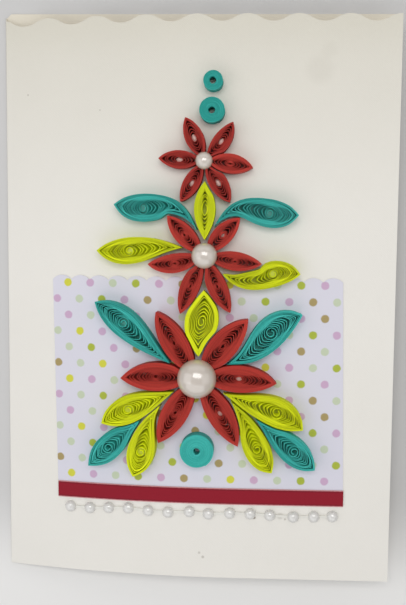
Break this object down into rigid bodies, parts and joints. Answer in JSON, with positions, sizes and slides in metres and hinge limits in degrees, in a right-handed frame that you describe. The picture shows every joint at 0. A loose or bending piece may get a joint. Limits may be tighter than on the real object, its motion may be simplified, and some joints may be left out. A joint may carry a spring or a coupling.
{
  "type": "quilled paper greeting card",
  "caption": "Folded paper card, ajar at the free edge, with coiled paper flowers and leaves, half pearls, patterned paper, a ribbon band and a bead string.",
  "frame": {"origin": "middle of the back panel's underside; the card lies on its back", "axes": "+X from the fold to the free edge, +Y up the card's height, +Z out of its decorated face"},
  "size_m": [0.1456, 0.21, 0.0222],
  "materials": {
    "card": "matte",
    "dotted_paper": "matte",
    "ribbon": "satin",
    "red_strip": "matte",
    "lime_strip": "matte",
    "teal_strip": "matte",
    "pearl": "gloss",
    "bead": "gloss",
    "thread": "satin"
  },
  "bodies": {
    "root": {"bead_01": "bead", "bead_02": "bead", "bead_03": "bead", "bead_04": "bead", "bead_05": "bead", "bead_06": "bead", "bead_07": "bead", "bead_08": "bead", "bead_09": "bead", "bead_10": "bead", "bead_11": "bead", "bead_12": "bead", "bead_13": "bead", "bead_14": "bead", "bead_thread": "thread", "dotted_paper": "dotted_paper", "folded_card": "card", "large_disc": "teal_strip", "large_pearl": "pearl", "large_petal_left": "red_strip", "large_petal_lower_left": "red_strip", "large_petal_lower_right": "red_strip", "large_petal_right": "red_strip", "large_petal_upper_left": "red_strip", "large_petal_upper_right": "red_strip", "lower_marquise": "lime_strip", "medium_disc": "teal_strip", "medium_pearl": "pearl", "medium_petal_left": "red_strip", "medium_petal_lower_left": "red_strip", "medium_petal_lower_right": "red_strip", "medium_petal_right": "red_strip", "medium_petal_upper_left": "red_strip", "medium_petal_upper_right": "red_strip", "red_ribbon": "ribbon", "side_leaf_left": "lime_strip", "side_leaf_right": "lime_strip", "small_disc": "teal_strip", "small_pearl": "pearl", "small_petal_left": "red_strip", "small_petal_lower_left": "red_strip", "small_petal_lower_right": "red_strip", "small_petal_right": "red_strip", "small_petal_upper_left": "red_strip", "small_petal_upper_right": "red_strip", "spray_leaf_left_foot": "lime_strip", "spray_leaf_left_middle": "teal_strip", "spray_leaf_left_top": "lime_strip", "spray_leaf_right_foot": "lime_strip", "spray_leaf_right_middle": "teal_strip", "spray_leaf_right_top": "lime_strip", "swirl_leaf_left": "teal_strip", "swirl_leaf_right": "teal_strip", "upper_marquise": "lime_strip", "wing_leaf_left": "teal_strip", "wing_leaf_right": "teal_strip"}
  },
  "joints": []
}
